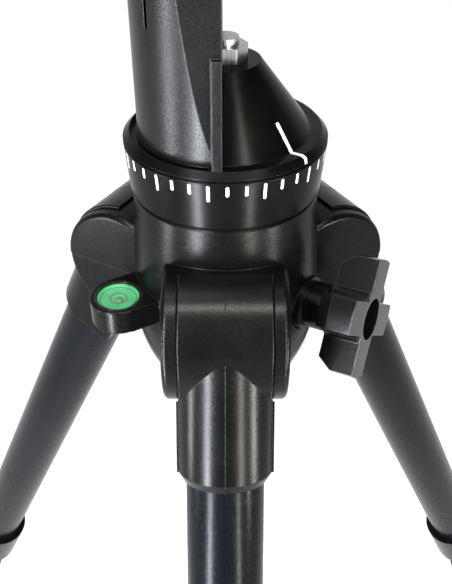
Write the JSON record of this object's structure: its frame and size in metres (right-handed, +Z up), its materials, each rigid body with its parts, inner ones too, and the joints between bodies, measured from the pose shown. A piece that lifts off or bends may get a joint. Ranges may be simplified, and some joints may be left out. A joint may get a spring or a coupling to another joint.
{
  "type": "alt azimuth mount",
  "caption": "Telescope mount head with graduated azimuth ring on a folding, extending tripod with centre column and bubble level.",
  "frame": {"origin": "on the floor, at the middle of the rectangle that the three feet span", "axes": "+Z up along the azimuth axis; the front leg points to -Y; +X is to the right, the side that the saddle faces"},
  "size_m": [0.5934, 0.5192, 0.8155],
  "materials": {
    "hub_plastic": "fine textured black moulding",
    "leg_plastic": "textured black moulding",
    "lever_plastic": "black moulding",
    "tube_black": "smooth satin black anodised tube",
    "steel": "bright zinc plated",
    "brass": "turned",
    "nylon": "natural nylon",
    "bronze": "sintered bronze",
    "knob_plastic": "glossy black moulding",
    "ring_black": "satin black paint on aluminium",
    "arm_paint": "black powder coat on cast aluminium",
    "rubber": "moulded black rubber",
    "level_black": "black vial cup",
    "level_green": "green vial",
    "level_clear": "clear window"
  },
  "bodies": {
    "hub": {"hub_upper": "hub_plastic", "hub_lower": "hub_plastic", "hinge_pins": "steel", "hub_screws": "steel", "upper_bush": "nylon", "lower_bush": "nylon", "level_cup": "level_black", "level_vial": "level_green", "level_window": "level_clear", "lock_insert": "brass"},
    "lock": {"lock_screw": "steel", "lock_knob": "knob_plastic", "lock_pad": "brass"},
    "column": {"column_tube": "tube_black", "column_stop": "leg_plastic", "column_head": "ring_black", "scale_ring": "ring_black", "azimuth_spindle": "steel", "azimuth_nut": "steel", "thrust_washer": "nylon"},
    "azimuth_lock": {"azimuth_lock_knob": "knob_plastic"},
    "rotor": {"turntable": "ring_black", "bearing_skirt": "ring_black", "fork_arm": "arm_paint", "arm_cover": "arm_paint", "arm_screws": "steel", "altitude_bush": "bronze", "altitude_washer": "nylon"},
    "altitude": {"altitude_shaft": "steel", "altitude_disc": "arm_paint", "saddle": "arm_paint", "saddle_screws": "steel"},
    "tension": {"altitude_knob": "knob_plastic"},
    "jaw": {"clamp_jaw": "arm_paint"},
    "clamp": {"clamp_knob": "knob_plastic"},
    "leg_1": {"leg_top_1": "leg_plastic", "upper_tube_1": "tube_black", "leg_collar_1": "leg_plastic", "lever_pin_1": "steel"},
    "lever_1": {"clamp_lever_1": "lever_plastic"},
    "shin_1": {"lower_tube_1": "tube_black", "slide_bush_1": "nylon", "foot_1": "rubber"},
    "leg_2": {"leg_top_2": "leg_plastic", "upper_tube_2": "tube_black", "leg_collar_2": "leg_plastic", "lever_pin_2": "steel"},
    "lever_2": {"clamp_lever_2": "lever_plastic"},
    "shin_2": {"lower_tube_2": "tube_black", "slide_bush_2": "nylon", "foot_2": "rubber"},
    "leg_3": {"leg_top_3": "leg_plastic", "upper_tube_3": "tube_black", "leg_collar_3": "leg_plastic", "lever_pin_3": "steel"},
    "lever_3": {"clamp_lever_3": "lever_plastic"},
    "shin_3": {"lower_tube_3": "tube_black", "slide_bush_3": "nylon", "foot_3": "rubber"}
  },
  "joints": [
    {"name": "lock_turn", "type": "hinge", "parent": "hub", "child": "lock", "pos_m": [0.06039, 0.04535, 0.52463], "axis": [0.8627, -0.4981, 0.0872], "range_deg": [-270, 0]},
    {"name": "column_slide", "type": "slide", "parent": "hub", "child": "column", "axis": [0, 0, 1], "range_m": [0, 0.16]},
    {"name": "azimuth_lock_turn", "type": "hinge", "parent": "column", "child": "azimuth_lock", "pos_m": [0, 0.13521, 0.59597], "axis": [0, 1, 0], "range_deg": [-270, 0]},
    {"name": "azimuth", "type": "hinge", "parent": "column", "child": "rotor", "pos_m": [0, 0.08021, 0.62547], "axis": [0, 0, 1], "continuous": true},
    {"name": "altitude", "type": "hinge", "parent": "rotor", "child": "altitude", "pos_m": [0, 0.08021, 0.75547], "axis": [1, 0, 0], "range_deg": [-20, 90]},
    {"name": "tension_turn", "type": "hinge", "parent": "altitude", "child": "tension", "pos_m": [-0.053, 0.08021, 0.75547], "axis": [1, 0, 0], "range_deg": [-90, 90]},
    {"name": "clamp_turn", "type": "hinge", "parent": "altitude", "child": "clamp", "pos_m": [0.0246, 0.08021, 0.80547], "axis": [0, 0, 1], "range_deg": [0, 864]},
    {"name": "jaw_slide", "type": "slide", "parent": "altitude", "child": "jaw", "axis": [0, 0, -1], "range_m": [0, 0.003]},
    {"name": "leg_fold_1", "type": "hinge", "parent": "hub", "child": "leg_1", "pos_m": [0, 0.03121, 0.52547], "axis": [1, 0, 0], "range_deg": [0, 26]},
    {"name": "lever_flip_1", "type": "hinge", "parent": "leg_1", "child": "lever_1", "pos_m": [0, -0.21974, 0.10492], "axis": [1, 0, 0], "range_deg": [0, 110]},
    {"name": "leg_slide_1", "type": "slide", "parent": "leg_1", "child": "shin_1", "axis": [0, -0.4384, -0.8988], "range_m": [0, 0.33]},
    {"name": "leg_fold_2", "type": "hinge", "parent": "hub", "child": "leg_2", "pos_m": [0.04244, 0.10471, 0.52547], "axis": [-0.5, 0.866, 0], "range_deg": [0, 26]},
    {"name": "lever_flip_2", "type": "hinge", "parent": "leg_2", "child": "lever_2", "pos_m": [0.25977, 0.23019, 0.10492], "axis": [-0.5, 0.866, 0], "range_deg": [0, 110]},
    {"name": "leg_slide_2", "type": "slide", "parent": "leg_2", "child": "shin_2", "axis": [0.3796, 0.2192, -0.8988], "range_m": [0, 0.33]},
    {"name": "leg_fold_3", "type": "hinge", "parent": "hub", "child": "leg_3", "pos_m": [-0.04244, 0.10471, 0.52547], "axis": [-0.5, -0.866, 0], "range_deg": [0, 26]},
    {"name": "lever_flip_3", "type": "hinge", "parent": "leg_3", "child": "lever_3", "pos_m": [-0.25977, 0.23019, 0.10492], "axis": [-0.5, -0.866, 0], "range_deg": [0, 110]},
    {"name": "leg_slide_3", "type": "slide", "parent": "leg_3", "child": "shin_3", "axis": [-0.3796, 0.2192, -0.8988], "range_m": [0, 0.33]}
  ]
}
